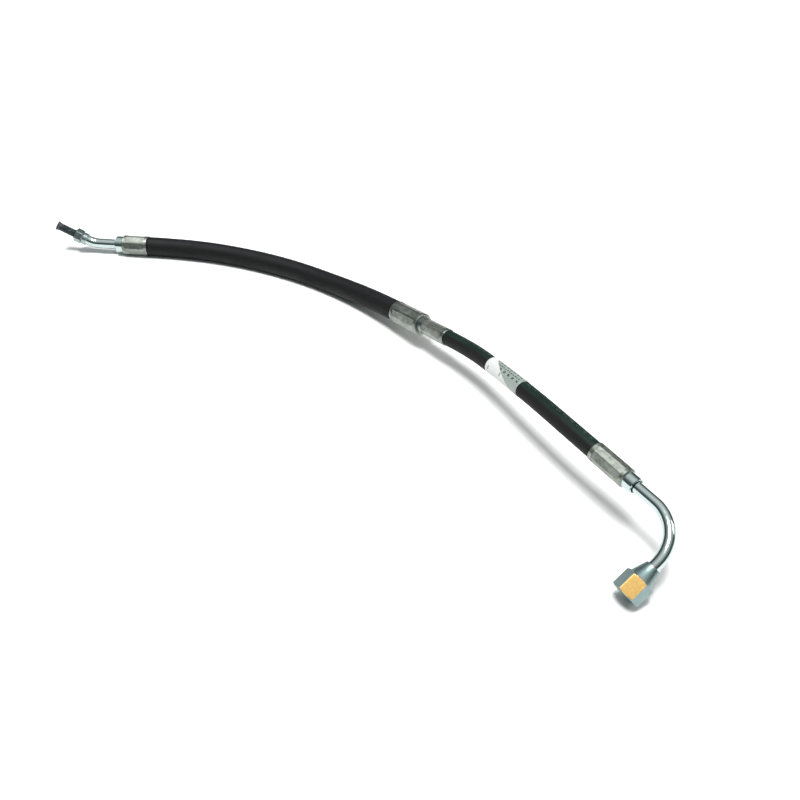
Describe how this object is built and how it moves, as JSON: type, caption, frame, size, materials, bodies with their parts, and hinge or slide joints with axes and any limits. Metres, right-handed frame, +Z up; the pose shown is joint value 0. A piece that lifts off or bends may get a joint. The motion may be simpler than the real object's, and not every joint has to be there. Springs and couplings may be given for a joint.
{
  "type": "hydraulic hose assembly",
  "caption": "Stepped hydraulic hose: a large hose crimped to a smaller one, with a bent tube and threaded stud at one end and a swept elbow with a union nut at the other.",
  "frame": {"origin": "on the surface it lies on, below the centre of the box round its rigid fittings", "axes": "+X from the threaded stud end to the elbow end, +Z up, the hose bows towards +Y"},
  "size_m": [1.0329, 0.2289, 0.0747],
  "materials": {
    "plug_plastic": "satin",
    "seal_rubber": "matte",
    "plated_steel": "satin",
    "bright_plated_tube": "polished",
    "nut_steel": "satin",
    "ferrule_zinc": "satin",
    "liner_rubber": "matte",
    "wire_braid": "satin",
    "large_cover_rubber": "matte",
    "small_cover_rubber": "matte",
    "label_vinyl": "satin",
    "clear_film": "gloss"
  },
  "bodies": {
    "hose": {"stud_seal": "seal_rubber", "stud_fitting": "plated_steel", "inlet_tube": "bright_plated_tube", "inlet_insert": "plated_steel", "inlet_ferrule": "ferrule_zinc", "large_hose_liner": "liner_rubber", "large_hose_braid": "wire_braid", "large_hose_cover": "large_cover_rubber", "splice_large_ferrule": "ferrule_zinc", "splice_insert": "plated_steel", "splice_small_ferrule": "ferrule_zinc", "small_hose_liner": "liner_rubber", "small_hose_braid": "wire_braid", "small_hose_cover": "small_cover_rubber", "marking_label": "label_vinyl", "label_film": "clear_film", "outlet_ferrule": "ferrule_zinc", "outlet_insert": "bright_plated_tube", "elbow_tube": "bright_plated_tube", "cone_head": "plated_steel", "cone_seal": "seal_rubber"},
    "plug": {"end_plug": "plug_plastic"},
    "nut": {"union_nut": "nut_steel"}
  },
  "joints": [
    {"name": "nut_swivel", "type": "hinge", "parent": "hose", "child": "nut", "pos_m": [0.50118, -0.07514, 0.02176], "axis": [-0.2146, -0.8111, -0.5441], "continuous": true},
    {"name": "plug_pull", "type": "slide", "parent": "hose", "child": "plug", "axis": [-0.7037, -0.54, 0.4617], "range_m": [0, 0.04]}
  ]
}
